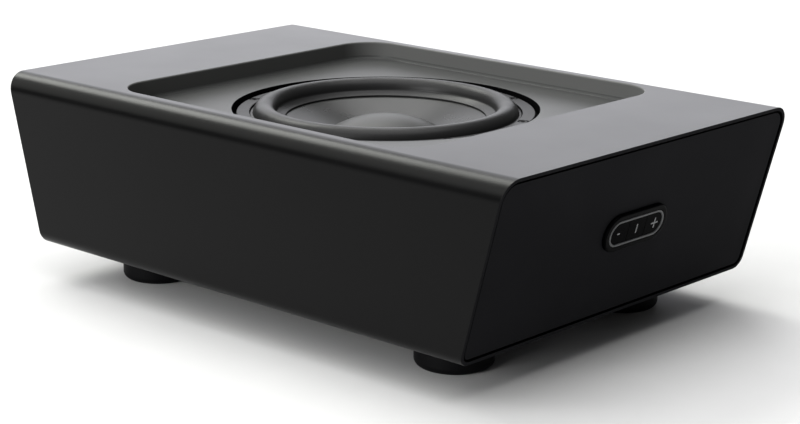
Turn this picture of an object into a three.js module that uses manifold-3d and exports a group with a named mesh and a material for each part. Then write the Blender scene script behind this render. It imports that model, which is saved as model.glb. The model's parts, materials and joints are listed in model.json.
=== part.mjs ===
// A low, long subwoofer with an upward-firing driver sunk into a tray in its top.
// Millimetres, +Z up. The origin is on the ground, under the middle of the cabinet.
// X runs along the cabinet, -Y is its front, and the controls are on the +X end.

import * as THREE from 'three';
import { mergeVertices } from 'three/addons/utils/BufferGeometryUtils.js';
import Module from 'manifold-3d';

const wasm = await Module();
wasm.setup();

// ---- driving dimensions ----------------------------------------------------

const GAP = 0.3;                     // air between pieces that touch
const THROUGH = 2;                   // how far a cutter runs past the face it cuts
const ROUND = 40;                    // facets round the driver's larger rings
const SMALL_ROUND = 24;              // and round its smaller ones

// cabinet
const LENGTH = 480;                  // at the top
const DEPTH = 310;
const BODY_HEIGHT = 124.5;            // without the feet
const FOOT_HEIGHT = 26.5;
const END_TAPER = 34;                // how far each end leans in, from top to bottom
const TOP_FILLET = 15;
const BOTTOM_FILLET = 9;
const SKIN = 2.5;                    // sleeve thickness
const BODY_Z = FOOT_HEIGHT;
const TOP_Z = BODY_Z + BODY_HEIGHT;

// end panels
const PANEL_THICKNESS = 12;
const PANEL_INSET = 0.8;             // the panel's face below the sleeve's cut edge
const PANEL_GAP = 1.4;               // shadow line all round the panel

// tray
const TRAY_LENGTH = 289;
const TRAY_WIDTH = 269;
const TRAY_CORNER = 29;
const TRAY_DEPTH = 13.5;
const TRAY_FOOT_FILLET = 3;
const BAFFLE_THICKNESS = 15;
const FLOOR_Z = TOP_Z - TRAY_DEPTH;
const BAFFLE_Z = FLOOR_Z - BAFFLE_THICKNESS;
const SEAM_Z = FLOOR_Z + TRAY_FOOT_FILLET;

// inner boards
const BOARD_THICKNESS = 9;
const BASE_THICKNESS = 12;
const BULKHEAD_X = 130.5;            // middle of the left bulkhead and of the right brace
const BASE_Z = BODY_Z + SKIN + GAP;
const BASE_TOP_Z = BASE_Z + BASE_THICKNESS;

// feet
const FOOT_X = 147;
const FOOT_Y = 91;
const FOOT_RADIUS = 27;
const FOOT_EDGE = 5;                 // rounding of the lower edge
const FOOT_SCREW_SEAT_Z = 9;

// driver, heights measured on the assembled cabinet
const WELL_RADIUS = 111;             // round well in the tray floor
const BASKET_RADIUS = 107.7;
const RING_TOP_Z = FLOOR_Z - 2.5;
const RING_THICKNESS = 3;
const RING_INNER_RADIUS = 98.3;
const SEAT_Z = RING_TOP_Z - 2.8;     // step that the surround is glued to
const GASKET_THICKNESS = 1.3;
const WELL_Z = RING_TOP_Z - RING_THICKNESS - GASKET_THICKNESS - 2 * GAP;
const THROAT_RADIUS = 98.8;          // hole through the baffle
const ROLL_OUTER_RADIUS = 96;
const ROLL_INNER_RADIUS = 79.5;
const ROLL_BASE_Z = 133.3;
const LIP_INNER_RADIUS = 72.3;
const RUBBER = 1.1;                  // surround thickness
const CONE_SLOPE = Math.tan(THREE.MathUtils.degToRad(17));
const CONE_THICKNESS = 1.0;
const CONE_RIM_Z = 131.9;            // cone's upper face at the roll's inner edge
const NECK_RADIUS = 26.2;
const CAP_RADIUS = 40;               // edge of the dust cap
const CAP_SPHERE_RADIUS = 80;
const COIL_RADIUS = 25.4;            // outside of the former
const SPIDER_Z = 103;
const SPIDER_RADIUS = 69;
const SHELF_Z = 101.5;               // step that the spider is glued to
const TOP_PLATE_Z = 76;
const TOP_PLATE_THICKNESS = 8;
const MAGNET_THICKNESS = 20;
const MAGNET_RADIUS = 68;
const PLATE_RADIUS = 61;
const YOKE_THICKNESS = 7;
const SCREW_COUNT = 8;
const SCREW_CIRCLE = 103.2;
const SCREW_HEAD_RADIUS = 3.5;
const SCREW_RADIUS = 2;

// control pod, in the frame of the right end: U front to back, V up the face, N outwards
const POD_DOWN = 63.4;               // middle of the pod below the cabinet's top edge, on the face
const POD_LENGTH = 67;
const POD_HEIGHT = 27;
const POD_PROUD = 2;
const POD_EDGE = 1.2;
const NECK_WALL = 2;
const RING_LENGTH = 58.5;
const RING_HEIGHT = 18.7;
const RING_WALL = 1.5;
const KEY_SPLIT = 9.45;              // half the width of the middle key, to the middle of the gap
const KEY_TOP = 1.6;
const KEY_BOTTOM = -5;
const SWITCH_TOP = -6;
const CONTROL_BOARD_N = -11.5;
const GLYPH_SPACING = 19.7;
const GLYPH_HEIGHT = 0.2;

// rear plate and mains inlet, at the left of the back
const REAR_X = -168;
const REAR_Z = 80;
const REAR_PLATE_WIDTH = 50;
const REAR_PLATE_HEIGHT = 60;
const REAR_PLATE_THICKNESS = 2.1;
const REAR_FACE_Y = DEPTH / 2 - 0.4;
const REAR_SCREW_X = 20.5;
const REAR_SCREW_Z = 25.5;
const REAR_CUTOUT = 0.8;             // the sleeve's opening is this much larger than the plate
const INLET_WIDTH = 24;
const INLET_HEIGHT = 14;

// ---- solids ------------------------------------------------------------------

function toSolid(geometry) {
  const bare = geometry.index ? geometry.toNonIndexed() : geometry.clone();
  bare.deleteAttribute('normal');
  bare.deleteAttribute('uv');
  const merged = mergeVertices(bare, 1e-4);
  return new wasm.Manifold(new wasm.Mesh({
    numProp: 3,
    vertProperties: new Float32Array(merged.attributes.position.array),
    triVerts: new Uint32Array(merged.index.array),
  }));
}

function toGeometry(solid) {
  const mesh = solid.getMesh();
  const geometry = new THREE.BufferGeometry();
  geometry.setAttribute('position', new THREE.BufferAttribute(mesh.vertProperties, 3));
  geometry.setIndex(new THREE.BufferAttribute(mesh.triVerts, 1));
  geometry.computeVertexNormals();
  return geometry;
}

function join(...geometries) {
  const solids = geometries.map(toSolid);
  return toGeometry(solids.reduce((whole, solid) => whole.add(solid)));
}

function cut(geometry, ...cutters) {
  const solids = cutters.map(toSolid);
  return toGeometry(solids.reduce((whole, solid) => whole.subtract(solid), toSolid(geometry)));
}

function keepInside(geometry, limit) {
  return toGeometry(toSolid(geometry).intersect(toSolid(limit)));
}

function box(low, high) {
  const size = high.map((value, i) => value - low[i]);
  const geometry = new THREE.BoxGeometry(...size);
  return geometry.translate(...low.map((value, i) => value + size[i] / 2));
}

// a cylinder standing on z = low, at (x, y)
function post(radius, low, high, x = 0, y = 0, segments = 24) {
  const geometry = new THREE.CylinderGeometry(radius, radius, high - low, segments);
  return geometry.rotateX(Math.PI / 2).translate(x, y, (low + high) / 2);
}

// a flat outline raised from z = low to z = high
function slab(shape, low, high, curveSegments = 8) {
  const options = { depth: high - low, bevelEnabled: false, curveSegments };
  return new THREE.ExtrudeGeometry(shape, options).translate(0, 0, low);
}

// a slab whose two faces have rounded edges, inside the outline
function softSlab(shape, low, high, edge, curveSegments = 8, bevelSegments = 4) {
  const options = {
    depth: high - low - 2 * edge,
    bevelThickness: edge,
    bevelSize: edge,
    bevelOffset: -edge,
    bevelSegments,
    curveSegments,
  };
  return new THREE.ExtrudeGeometry(shape, options).translate(0, 0, low + edge);
}

// a closed profile of [radius, height] pairs, turned round the Z axis
function turned(profile, segments = ROUND) {
  const points = profile.map(([radius, height]) => new THREE.Vector2(radius, height));
  const closes = profile[0][0] > 0 || profile[profile.length - 1][0] > 0;
  if (closes) points.push(points[0].clone());
  const geometry = new THREE.LatheGeometry(points, segments).rotateX(Math.PI / 2);
  const area = THREE.ShapeUtils.area(points);
  return area > 0 ? geometry : insideOut(geometry);
}

function insideOut(geometry) {
  const index = geometry.index.array;
  for (let i = 0; i < index.length; i += 3) {
    [index[i], index[i + 1]] = [index[i + 1], index[i]];
  }
  return geometry;
}

// the points of an arc from one angle to another, in degrees
function arc(centre, radius, from, to, steps) {
  return Array.from({ length: steps + 1 }, (_, i) => {
    const angle = THREE.MathUtils.degToRad(from + (to - from) * i / steps);
    return [centre[0] + radius * Math.cos(angle), centre[1] + radius * Math.sin(angle)];
  });
}

function roundedRectangle(width, height, radius) {
  const x = width / 2 - radius;
  const y = height / 2 - radius;
  const shape = new THREE.Shape();
  shape.absarc(x, -y, radius, -Math.PI / 2, 0);
  shape.absarc(x, y, radius, 0, Math.PI / 2);
  shape.absarc(-x, y, radius, Math.PI / 2, Math.PI);
  shape.absarc(-x, -y, radius, Math.PI, 1.5 * Math.PI);
  shape.closePath();
  return shape;
}

// a rectangle with half-round ends
function stadium(length, height) {
  const middle = (length - height) / 2;
  const shape = new THREE.Shape();
  shape.absarc(middle, 0, height / 2, -Math.PI / 2, Math.PI / 2);
  shape.absarc(-middle, 0, height / 2, Math.PI / 2, 1.5 * Math.PI);
  shape.closePath();
  return shape;
}

// ---- the cabinet's shape -----------------------------------------------------

// where the plane of the right end lies at a given height
function endX(z) {
  return LENGTH / 2 - END_TAPER * (TOP_Z - z) / BODY_HEIGHT;
}

// the cabinet's section across its length, drawn in Y and Z, a given distance inside its skin
function section(inside) {
  const y = DEPTH / 2 - inside;
  const low = BODY_Z + inside;
  const high = TOP_Z - inside;
  const top = TOP_FILLET - inside;
  const bottom = BOTTOM_FILLET - inside;
  const shape = new THREE.Shape();
  shape.absarc(y - bottom, low + bottom, bottom, -Math.PI / 2, 0);
  shape.absarc(y - top, high - top, top, 0, Math.PI / 2);
  shape.absarc(-y + top, high - top, top, Math.PI / 2, Math.PI);
  shape.absarc(-y + bottom, low + bottom, bottom, Math.PI, 1.5 * Math.PI);
  shape.closePath();
  return shape;
}

function rectangleYZ(yLow, yHigh, zLow, zHigh) {
  const shape = new THREE.Shape();
  shape.moveTo(yLow, zLow);
  shape.lineTo(yHigh, zLow);
  shape.lineTo(yHigh, zHigh);
  shape.lineTo(yLow, zHigh);
  shape.closePath();
  return shape;
}

// a Y-Z outline carried along X between two ends, each an X that depends on the height
function between(shape, leftX, rightX, curveSegments = 6) {
  const options = { depth: 1, bevelEnabled: false, curveSegments };
  const geometry = new THREE.ExtrudeGeometry(shape, options);
  const position = geometry.attributes.position;
  for (let i = 0; i < position.count; i += 1) {
    const y = position.getX(i);
    const z = position.getY(i);
    const x = position.getZ(i) > 0.5 ? rightX(z) : leftX(z);
    position.setXYZ(i, x, y, z);
  }
  return geometry;
}

// the same, with both ends parallel to the cabinet's ends
function betweenEnds(shape, inside, curveSegments = 6) {
  return between(shape, (z) => inside - endX(z), (z) => endX(z) - inside, curveSegments);
}

function trayOutline(outside) {
  const length = TRAY_LENGTH + 2 * outside;
  const width = TRAY_WIDTH + 2 * outside;
  return roundedRectangle(length, width, TRAY_CORNER + outside);
}

const footPlaces = [
  ['front_left', -FOOT_X, -FOOT_Y],
  ['front_right', FOOT_X, -FOOT_Y],
  ['back_left', -FOOT_X, FOOT_Y],
  ['back_right', FOOT_X, FOOT_Y],
];

// ---- cabinet pieces ------------------------------------------------------------

function outerSleeve() {
  const skin = cut(
    betweenEnds(section(0), 0),
    betweenEnds(section(SKIN), -THROUGH),
  );
  const wallTop = TOP_Z - SKIN / 2;
  const trayWall = slab(trayOutline(SKIN), SEAM_Z + GAP, wallTop, 8);
  const opening = slab(trayOutline(0), BODY_Z + SKIN + THROUGH, TOP_Z + THROUGH, 8);
  const rearOpening = rearBlock(REAR_CUTOUT / 2, DEPTH / 2 - SKIN - THROUGH, DEPTH / 2 + THROUGH);
  const screwHoles = footPlaces.map(([, x, y]) => (
    post(SCREW_RADIUS + GAP, BODY_Z - THROUGH, BODY_Z + SKIN + THROUGH, x, y, 12)
  ));
  return cut(join(skin, trayWall), opening, rearOpening, ...screwHoles);
}

function baffleTray() {
  const plate = slab(trayOutline(SKIN), BAFFLE_Z, SEAM_Z, 8);
  const highEnough = SEAM_Z + TRAY_FOOT_FILLET + THROUGH;
  const pocket = softSlab(trayOutline(0), FLOOR_Z, highEnough, TRAY_FOOT_FILLET, 8, 3);
  const well = post(WELL_RADIUS, WELL_Z, SEAM_Z + THROUGH, 0, 0, ROUND);
  const throat = post(THROAT_RADIUS, BAFFLE_Z - THROUGH, WELL_Z + THROUGH, 0, 0, ROUND);
  const screwHoles = screwPlaces().map(([x, y]) => (
    post(SCREW_RADIUS + GAP, BAFFLE_Z + 1, WELL_Z + THROUGH, x, y, 8)
  ));
  return cut(plate, pocket, well, throat, ...screwHoles);
}

function endPanel(side) {
  const outline = section(SKIN + PANEL_GAP);
  const outer = (z) => side * (endX(z) - PANEL_INSET);
  const inner = (z) => side * (endX(z) - PANEL_INSET - PANEL_THICKNESS);
  return side > 0 ? between(outline, inner, outer) : between(outline, outer, inner);
}

function rightEndPanel() {
  const neck = podNeckOutline(GAP);
  return cut(endPanel(1), placeOnEnd(slab(neck, -2 * PANEL_THICKNESS, THROUGH, 12)));
}

// a rectangular block on the back, round the rear plate's middle
function rearBlock(outside, yLow, yHigh) {
  const x = REAR_PLATE_WIDTH / 2 + outside;
  const z = REAR_PLATE_HEIGHT / 2 + outside;
  return box([REAR_X - x, yLow, REAR_Z - z], [REAR_X + x, yHigh, REAR_Z + z]);
}

const boardEndClearance = PANEL_INSET + PANEL_THICKNESS + 1;
const boardOuterY = DEPTH / 2 - SKIN - GAP;
const boardInnerY = boardOuterY - BOARD_THICKNESS;
const boardTopZ = TOP_Z - TOP_FILLET;

function frontBoard() {
  const outline = rectangleYZ(-boardOuterY, -boardInnerY, BASE_TOP_Z + GAP, boardTopZ);
  return betweenEnds(outline, boardEndClearance);
}

function backBoard() {
  const outline = rectangleYZ(boardInnerY, boardOuterY, BASE_TOP_Z + GAP, boardTopZ);
  const board = betweenEnds(outline, boardEndClearance);
  const opening = rearBlock(-9, boardInnerY - THROUGH, boardOuterY + THROUGH);
  const screwHoles = rearScrewPlaces.map(([x, z]) => (
    rearPost(1.6, boardInnerY - THROUGH, boardOuterY + THROUGH, x, z)
  ));
  return cut(board, opening, ...screwHoles);
}

function baseBoard() {
  const y = DEPTH / 2 - BOTTOM_FILLET;
  const board = betweenEnds(rectangleYZ(-y, y, BASE_Z, BASE_TOP_Z), boardEndClearance);
  const screwHoles = footPlaces.map(([, x, footY]) => (
    post(SCREW_RADIUS + GAP, BASE_Z - THROUGH, BASE_TOP_Z - 1, x, footY, 12)
  ));
  return cut(board, ...screwHoles);
}

function bulkheadBlock(side) {
  const half = BOARD_THICKNESS / 2;
  const y = boardInnerY - GAP;
  return box(
    [side * BULKHEAD_X - half, -y, BASE_TOP_Z + GAP],
    [side * BULKHEAD_X + half, y, BAFFLE_Z - GAP],
  );
}

const cableHole = { y: 22, z: 72, radius: 4 };

function leftBulkhead() {
  const hole = new THREE.CylinderGeometry(cableHole.radius, cableHole.radius, 30, 12);
  hole.rotateZ(Math.PI / 2).translate(-BULKHEAD_X, cableHole.y, cableHole.z);
  return cut(bulkheadBlock(-1), hole);
}

function rightBrace() {
  const middleZ = (BASE_TOP_Z + BAFFLE_Z) / 2;
  const window = slab(roundedRectangle(46, 210, 10), -15, 15, 6);
  window.rotateY(Math.PI / 2).translate(BULKHEAD_X, 0, middleZ);
  return cut(bulkheadBlock(1), window);
}

function dampingPad(side) {
  const inner = boardInnerY - 14;
  const outer = boardInnerY - 2;
  const pad = softSlab(roundedRectangle(220, 12, 3), BASE_TOP_Z + 2, BAFFLE_Z - 6, 2, 2, 1);
  return pad.translate(0, side * (inner + outer) / 2, 0);
}

// ---- feet ----------------------------------------------------------------------

function foot(x, y) {
  const top = FOOT_HEIGHT - GAP;
  const recess = SCREW_HEAD_RADIUS + 2.5;
  const hole = SCREW_RADIUS + GAP;
  const profile = [
    [recess, 0],
    ...arc([FOOT_RADIUS - FOOT_EDGE, FOOT_EDGE], FOOT_EDGE, -90, 0, 3),
    [FOOT_RADIUS, top],
    [hole, top],
    [hole, FOOT_SCREW_SEAT_Z],
    [recess, FOOT_SCREW_SEAT_Z],
  ];
  return turned(profile, 20).translate(x, y, 0);
}

function footScrew(x, y) {
  const seat = FOOT_SCREW_SEAT_Z - GAP;
  const profile = [
    [0, seat - 3],
    [SCREW_HEAD_RADIUS + 1.5, seat - 3],
    [SCREW_HEAD_RADIUS + 1.5, seat],
    [SCREW_RADIUS, seat],
    [SCREW_RADIUS, BASE_TOP_Z - 2],
    [0, BASE_TOP_Z - 2],
  ];
  return turned(profile, 12).translate(x, y, 0);
}

// ---- driver --------------------------------------------------------------------

function screwPlaces() {
  return Array.from({ length: SCREW_COUNT }, (_, i) => {
    const angle = 2 * Math.PI * (i + 0.5) / SCREW_COUNT;
    return [SCREW_CIRCLE * Math.cos(angle), SCREW_CIRCLE * Math.sin(angle)];
  });
}

function driverBasket() {
  const ringBottom = RING_TOP_Z - RING_THICKNESS;
  const plateTop = TOP_PLATE_Z + TOP_PLATE_THICKNESS;
  const profile = [
    [BASKET_RADIUS, ringBottom],
    [BASKET_RADIUS, RING_TOP_Z],
    [RING_INNER_RADIUS, RING_TOP_Z],
    [RING_INNER_RADIUS, SEAT_Z],
    [92, SEAT_Z],
    [92, SEAT_Z - 3.2],
    [73, SHELF_Z],
    [57.5, SHELF_Z],
    [57.5, plateTop + 3.3],
    [32, plateTop + 3.3],
    [32, plateTop + GAP],
    [PLATE_RADIUS, plateTop + GAP],
    [PLATE_RADIUS, SHELF_Z - 4],
    [76, SHELF_Z - 4],
    [98, SEAT_Z - 5],
    [98, ringBottom],
  ];
  const windowCount = 6;
  const windows = Array.from({ length: windowCount }, (_, i) => {
    const middle = 2 * Math.PI * (i + 0.5) / windowCount;
    const half = THREE.MathUtils.degToRad(21);
    const shape = new THREE.Shape();
    shape.absarc(0, 0, 110, middle - half, middle + half);
    shape.absarc(0, 0, 55, middle + half, middle - half, true);
    shape.closePath();
    return slab(shape, SHELF_Z + 1, SEAT_Z - 6, 5);
  });
  const screwHoles = screwPlaces().flatMap(([x, y]) => [
    post(SCREW_RADIUS + GAP, ringBottom - 1, RING_TOP_Z + 1, x, y, 8),
    post(SCREW_HEAD_RADIUS + 0.4, RING_TOP_Z - 1.7, RING_TOP_Z + 1, x, y, 12),
  ]);
  return cut(turned(profile), ...windows, ...screwHoles);
}

function driverScrew(x, y) {
  const headTop = RING_TOP_Z - 0.2;
  const headBottom = RING_TOP_Z - 1.4;
  const profile = [
    [0, BAFFLE_Z + 2],
    [SCREW_RADIUS, BAFFLE_Z + 2],
    [SCREW_RADIUS, headBottom],
    [SCREW_HEAD_RADIUS, headBottom],
    [SCREW_HEAD_RADIUS, headTop],
    [0, headTop],
  ];
  return turned(profile, 8).translate(x, y, 0);
}

function gasket() {
  const low = WELL_Z + GAP;
  const high = low + GASKET_THICKNESS;
  const inner = THROAT_RADIUS + 0.4;
  const ring = turned([[inner, low], [BASKET_RADIUS, low], [BASKET_RADIUS, high], [inner, high]]);
  const screwHoles = screwPlaces().map(([x, y]) => (
    post(SCREW_RADIUS + GAP, low - 1, high + 1, x, y, 8)
  ));
  return cut(ring, ...screwHoles);
}

// the upper face of the cone at a given radius
function coneZ(radius) {
  return CONE_RIM_Z - CONE_SLOPE * (ROLL_INNER_RADIUS - radius);
}

function surround() {
  const rollRadius = (ROLL_OUTER_RADIUS - ROLL_INNER_RADIUS) / 2;
  const rollMiddle = [(ROLL_OUTER_RADIUS + ROLL_INNER_RADIUS) / 2, ROLL_BASE_Z];
  const flangeTop = SEAT_Z + GAP + RUBBER;
  const lipZ = (radius) => coneZ(radius) + GAP;
  const profile = [
    [LIP_INNER_RADIUS, lipZ(LIP_INNER_RADIUS)],
    [ROLL_INNER_RADIUS + 1, lipZ(ROLL_INNER_RADIUS + 1)],
    ...arc(rollMiddle, rollRadius - RUBBER, 172, 8, 7),
    [ROLL_OUTER_RADIUS - RUBBER, SEAT_Z + GAP],
    [98, SEAT_Z + GAP],
    [98, flangeTop],
    ...arc(rollMiddle, rollRadius, 0, 180, 8),
    [LIP_INNER_RADIUS, lipZ(LIP_INNER_RADIUS) + RUBBER],
  ];
  return turned(profile);
}

function cone() {
  const top = (radius) => [radius, coneZ(radius)];
  const under = (radius) => [radius, coneZ(radius) - CONE_THICKNESS];
  const profile = [under(NECK_RADIUS), under(ROLL_INNER_RADIUS), top(ROLL_INNER_RADIUS), top(NECK_RADIUS)];
  return turned(profile);
}

function dustCap() {
  const thickness = 0.9;
  const edgeAngle = THREE.MathUtils.radToDeg(Math.acos(CAP_RADIUS / CAP_SPHERE_RADIUS));
  const centre = [0, coneZ(CAP_RADIUS) + GAP - CAP_SPHERE_RADIUS * Math.sin(Math.acos(0.5)) + 0.5];
  const profile = [
    ...arc(centre, CAP_SPHERE_RADIUS - thickness, 90, edgeAngle, 5),
    ...arc(centre, CAP_SPHERE_RADIUS, edgeAngle, 90, 5),
  ];
  return turned(profile, SMALL_ROUND);
}

function voiceCoilFormer() {
  const inner = COIL_RADIUS - 0.5;
  const low = 66;
  const high = coneZ(NECK_RADIUS) + 1;
  const profile = [[inner, low], [COIL_RADIUS, low], [COIL_RADIUS, high], [inner, high]];
  return turned(profile, SMALL_ROUND);
}

function voiceCoil() {
  const inner = COIL_RADIUS + GAP;
  const outer = inner + 1;
  return turned([[inner, 71], [outer, 71], [outer, 89], [inner, 89]], SMALL_ROUND);
}

function spider() {
  const inner = COIL_RADIUS + GAP;
  const seat = SHELF_Z + GAP;
  const folds = 7;
  const start = inner + 3;
  const end = SPIDER_RADIUS - 11;
  const thickness = 0.8;
  const corrugation = Array.from({ length: folds }, (_, i) => (
    [start + (end - start) * i / (folds - 1), SPIDER_Z + (i % 2 ? 1.6 : -0.8)]
  ));
  const lower = [[inner, SPIDER_Z], ...corrugation, [end + 4, seat], [SPIDER_RADIUS, seat]];
  const upper = lower.map(([radius, z]) => [radius, z + thickness]).reverse();
  return turned([...lower, ...upper], SMALL_ROUND);
}

function topPlate() {
  const low = TOP_PLATE_Z;
  const high = low + TOP_PLATE_THICKNESS;
  return turned([[28, low], [PLATE_RADIUS, low], [PLATE_RADIUS, high], [28, high]], SMALL_ROUND);
}

function magnet() {
  const high = TOP_PLATE_Z - GAP;
  const low = high - MAGNET_THICKNESS;
  const edge = 1.5;
  const profile = [
    [34, low],
    [MAGNET_RADIUS - edge, low],
    [MAGNET_RADIUS, low + edge],
    [MAGNET_RADIUS, high - edge],
    [MAGNET_RADIUS - edge, high],
    [34, high],
  ];
  return turned(profile, SMALL_ROUND);
}

function yoke() {
  const plateTop = TOP_PLATE_Z - MAGNET_THICKNESS - 2 * GAP;
  const low = plateTop - YOKE_THICKNESS;
  const poleTop = TOP_PLATE_Z + TOP_PLATE_THICKNESS + 2;
  const profile = [
    [8, low],
    [PLATE_RADIUS - 3, low],
    [PLATE_RADIUS, low + 3],
    [PLATE_RADIUS, plateTop],
    [23.9, plateTop],
    [23.9, poleTop],
    [8, poleTop],
  ];
  return turned(profile, SMALL_ROUND);
}

const terminalX = -PLATE_RADIUS - 8;

function terminalBlock() {
  const z = TOP_PLATE_Z + TOP_PLATE_THICKNESS + 3;
  const body = box([terminalX, -10, z], [-PLATE_RADIUS - GAP, 10, z + 6]);
  const tabs = [-6, 6].map((y) => box([terminalX - 7, y - 2, z + 2.6], [terminalX + 1, y + 2, z + 3.6]));
  return join(body, ...tabs);
}

// ---- control pod ---------------------------------------------------------------

// carries a shape drawn in U, V, N on to the right end
function placeOnEnd(geometry) {
  const lean = Math.atan2(END_TAPER, BODY_HEIGHT);
  const u = new THREE.Vector3(0, 1, 0);
  const v = new THREE.Vector3(Math.sin(lean), 0, Math.cos(lean));
  const n = new THREE.Vector3(Math.cos(lean), 0, -Math.sin(lean));
  const middleZ = TOP_Z - POD_DOWN * Math.cos(lean);
  const frame = new THREE.Matrix4().makeBasis(u, v, n);
  frame.setPosition(endX(middleZ), 0, middleZ);
  return geometry.applyMatrix4(frame);
}

function podNeckOutline(outside) {
  const wall = 2 * (NECK_WALL + GAP + outside);
  return stadium(RING_LENGTH + wall, RING_HEIGHT + wall);
}

function ringOutline(outside) {
  return stadium(RING_LENGTH + 2 * outside, RING_HEIGHT + 2 * outside);
}

function controlBezel() {
  const seat = GAP - PANEL_INSET;
  const cap = softSlab(stadium(POD_LENGTH, POD_HEIGHT), -10, POD_PROUD, POD_EDGE, 10);
  const above = box([-POD_LENGTH, -POD_HEIGHT, seat], [POD_LENGTH, POD_HEIGHT, POD_PROUD + 1]);
  const neck = slab(podNeckOutline(0), CONTROL_BOARD_N - 2, seat + 1, 10);
  const window = slab(ringOutline(GAP), CONTROL_BOARD_N - 4, POD_PROUD + THROUGH, 10);
  return placeOnEnd(cut(join(keepInside(cap, above), neck), window));
}

function lightRing() {
  const outer = slab(ringOutline(0), SWITCH_TOP, POD_PROUD + 0.1, 10);
  const inner = slab(ringOutline(-RING_WALL), SWITCH_TOP - THROUGH, POD_PROUD + THROUGH, 10);
  return placeOnEnd(cut(outer, inner));
}

// one of the three keys: the part of the pill between two U positions, with its raised mark
function key(fromU, toU, marks) {
  const pill = slab(ringOutline(-RING_WALL - GAP), KEY_BOTTOM, KEY_TOP, 10);
  const part = box([fromU, -RING_HEIGHT, KEY_BOTTOM - 1], [toU, RING_HEIGHT, KEY_TOP + 1]);
  const raised = marks.map(([u, width, height]) => (
    box([u - width / 2, -height / 2, KEY_TOP - 1], [u + width / 2, height / 2, KEY_TOP + GLYPH_HEIGHT])
  ));
  return placeOnEnd(join(keepInside(pill, part), ...raised));
}

function keyMinus() {
  return key(-RING_LENGTH, -KEY_SPLIT - GAP / 2, [[-GLYPH_SPACING, 3.6, 1.2]]);
}

function keyPower() {
  return key(-KEY_SPLIT + GAP / 2, KEY_SPLIT - GAP / 2, [[0, 1.1, 6.8]]);
}

function keyPlus() {
  const marks = [[GLYPH_SPACING, 7, 1.1], [GLYPH_SPACING, 1.1, 7]];
  return key(KEY_SPLIT + GAP / 2, RING_LENGTH, marks);
}

function controlBoard() {
  const top = CONTROL_BOARD_N + 1.6;
  const board = slab(ringOutline(-0.2), CONTROL_BOARD_N, top, 10);
  const switches = [-GLYPH_SPACING, 0, GLYPH_SPACING].flatMap((u) => [
    box([u - 3, -3, top - 0.5], [u + 3, 3, SWITCH_TOP - 1]),
    post(1.7, SWITCH_TOP - 1.5, SWITCH_TOP, u, 0, 12),
  ]);
  return placeOnEnd(join(board, ...switches));
}

// ---- rear plate ------------------------------------------------------------------

const rearScrewPlaces = [[-1, -1], [1, -1], [-1, 1], [1, 1]].map(([right, up]) => (
  [REAR_X + right * REAR_SCREW_X, REAR_Z + up * REAR_SCREW_Z]
));

// a cylinder along Y
function rearPost(radius, yLow, yHigh, x, z, segments = 10) {
  const geometry = new THREE.CylinderGeometry(radius, radius, yHigh - yLow, segments);
  return geometry.translate(x, (yLow + yHigh) / 2, z);
}

// an X-Z outline, drawn round the rear plate's middle, carried along Y
function rearSlab(shape, yLow, yHigh, curveSegments = 8) {
  const geometry = slab(shape, -yHigh, -yLow, curveSegments);
  return geometry.rotateX(Math.PI / 2).translate(REAR_X, 0, REAR_Z);
}

function rearPlate() {
  const low = REAR_FACE_Y - REAR_PLATE_THICKNESS;
  const plate = rearSlab(roundedRectangle(REAR_PLATE_WIDTH, REAR_PLATE_HEIGHT, 2), low, REAR_FACE_Y, 4);
  const inletOutline = roundedRectangle(INLET_WIDTH + 2 * GAP, INLET_HEIGHT + 2 * GAP, 3 + GAP);
  const inletHole = rearSlab(inletOutline, low - THROUGH, REAR_FACE_Y + THROUGH, 4);
  const screwHoles = rearScrewPlaces.flatMap(([x, z]) => [
    rearPost(1.6, low - THROUGH, REAR_FACE_Y + THROUGH, x, z),
    rearPost(2.9, REAR_FACE_Y - 1.4, REAR_FACE_Y + THROUGH, x, z),
  ]);
  return cut(plate, inletHole, ...screwHoles);
}

function rearScrew(x, z) {
  const headY = REAR_FACE_Y - 0.1;
  const head = rearPost(2.5, headY - 1, headY, x, z);
  const shank = rearPost(1.3, boardInnerY + 1, headY - 0.5, x, z);
  return join(head, shank);
}

function mainsInlet() {
  const face = REAR_FACE_Y + 0.2;
  const back = boardInnerY - 6;
  const flangeY = REAR_FACE_Y - REAR_PLATE_THICKNESS - GAP;
  const body = rearSlab(roundedRectangle(INLET_WIDTH, INLET_HEIGHT, 3), back, face, 4);
  const flange = rearSlab(roundedRectangle(29, 19, 3), flangeY - 2, flangeY, 4);
  const socketFloor = face - 11;
  const socket = rearSlab(stadium(18, 8.6), socketFloor, face + THROUGH, 6);
  const pins = [-4.3, 4.3].map((x) => rearPost(1.2, socketFloor - 1, socketFloor + 5, REAR_X + x, REAR_Z));
  return join(cut(join(body, flange), socket), ...pins);
}

// ---- electronics -----------------------------------------------------------------

const pcbLow = BASE_TOP_Z + 7;
const pcbTop = pcbLow + 1.6;
const bayLeft = -196;

// a board on four legs, with blocks and cans standing on it
function circuitBoard([xLow, xHigh], [yLow, yHigh], blocks, cans) {
  const legs = [xLow + 4, xHigh - 4].flatMap((x) => [yLow + 4, yHigh - 4].map((y) => (
    post(2.4, BASE_TOP_Z + GAP, pcbLow + 0.5, x, y, 8)
  )));
  const board = box([xLow, yLow, pcbLow], [xHigh, yHigh, pcbTop]);
  const parts = blocks.map(([x, y, width, depth, height]) => (
    box([x - width / 2, y - depth / 2, pcbTop - 0.4], [x + width / 2, y + depth / 2, pcbTop + height])
  ));
  const capacitors = cans.map(([x, y, radius, height]) => (
    post(radius, pcbTop - 0.4, pcbTop + height, x, y, 12)
  ));
  return join(board, ...legs, ...parts, ...capacitors);
}

const ampTerminal = { x: -162, y: 2, top: pcbTop + 9 };

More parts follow.
